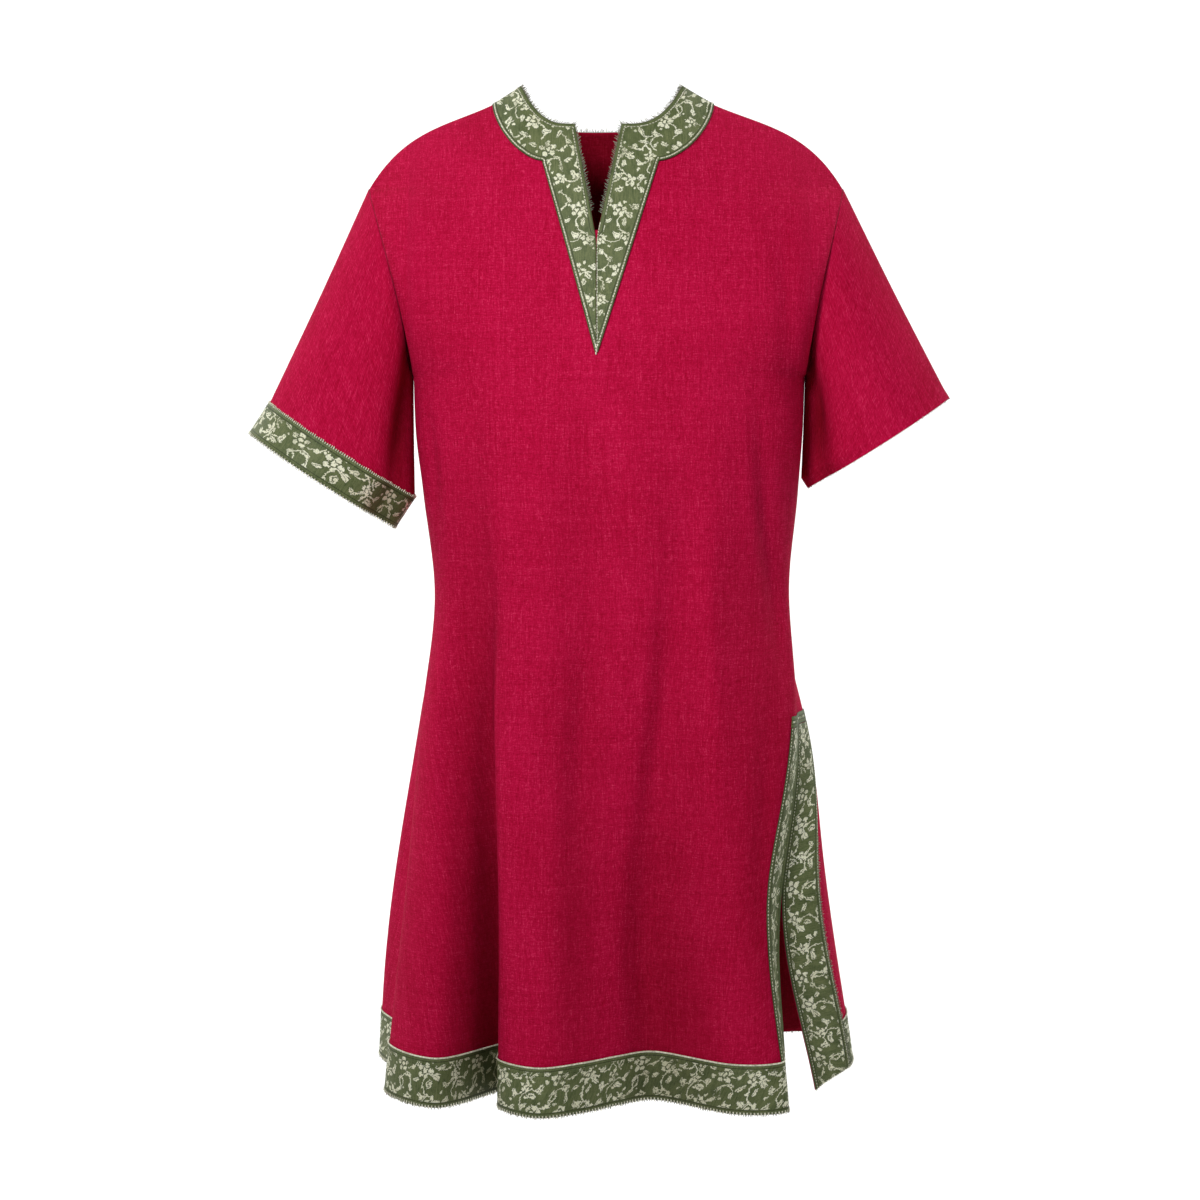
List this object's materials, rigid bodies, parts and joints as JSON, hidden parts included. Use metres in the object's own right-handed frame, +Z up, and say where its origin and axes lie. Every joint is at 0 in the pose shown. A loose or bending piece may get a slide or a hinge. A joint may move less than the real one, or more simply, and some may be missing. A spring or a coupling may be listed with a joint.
{
  "type": "short-sleeved tunic",
  "caption": "Short-sleeved flared tunic in crimson cloth with brocade bands at neck, hem, one cuff and one side slit; hollow as worn.",
  "frame": {"origin": "midway between the two neck points at the top of the shoulders, where the wearer holds the garment up", "axes": "+Z up, the front faces -Y, the wearer's right arm is on the -X side"},
  "size_m": [0.7323, 0.287, 1.0508],
  "materials": {
    "crimson_cloth": "matt plain weave",
    "green_brocade": "figured weave, slight sheen"
  },
  "bodies": {
    "root": {"body_front": "crimson_cloth", "body_back": "crimson_cloth", "sleeve_right": "crimson_cloth", "sleeve_left": "crimson_cloth", "neck_band_front_right": "green_brocade", "neck_band_front_left": "green_brocade", "neck_band_back": "green_brocade", "cuff_band_right": "green_brocade", "hem_band_front": "green_brocade", "hem_band_back": "green_brocade", "slit_band_front": "green_brocade", "slit_band_back": "green_brocade", "slit_bar": "green_brocade"}
  },
  "joints": []
}
